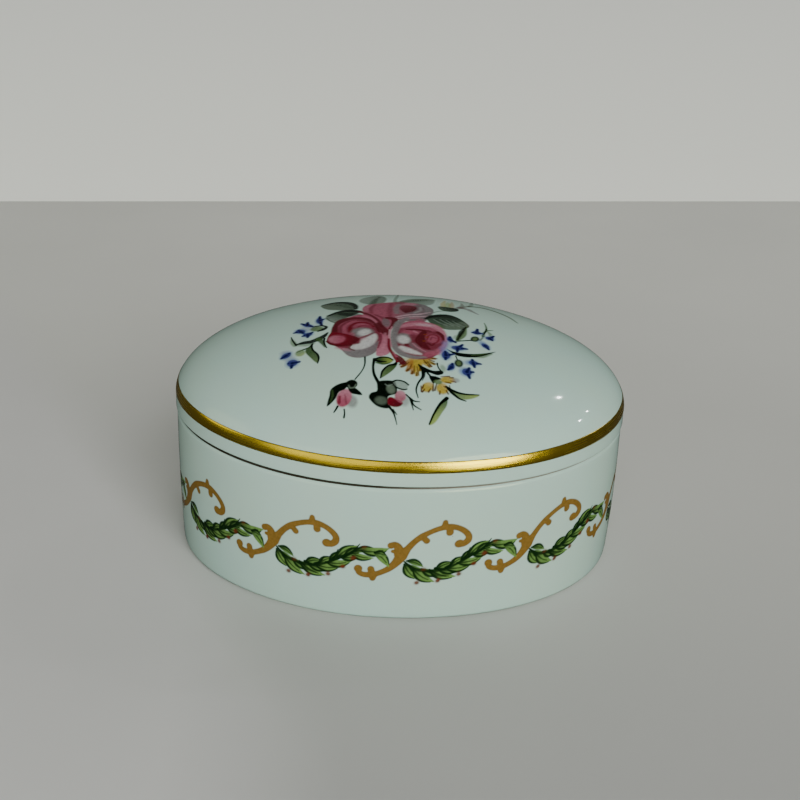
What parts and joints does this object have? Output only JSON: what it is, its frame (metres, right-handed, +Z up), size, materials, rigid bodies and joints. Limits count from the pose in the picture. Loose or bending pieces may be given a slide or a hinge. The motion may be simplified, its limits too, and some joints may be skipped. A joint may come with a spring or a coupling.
{
  "type": "porcelain trinket box",
  "caption": "Oval porcelain trinket box with a domed lift-off lid, a gilded band and painted flower and garland decoration.",
  "frame": {"origin": "centre of the foot ring, on the surface that the box stands on", "axes": "+Z up, +X along the long side of the oval; the pictured side faces -Y"},
  "size_m": [0.1, 0.08, 0.0527],
  "materials": {
    "porcelain_glaze": "gloss",
    "gilding": "satin",
    "overglaze_enamel": "gloss"
  },
  "bodies": {
    "base": {"base": "porcelain_glaze"},
    "lid": {"lid": "porcelain_glaze", "gold_band": "gilding"}
  },
  "joints": [
    {"name": "lid_lift", "type": "slide", "parent": "base", "child": "lid", "axis": [0, 0, 1], "range_m": [0, 0.06]}
  ]
}
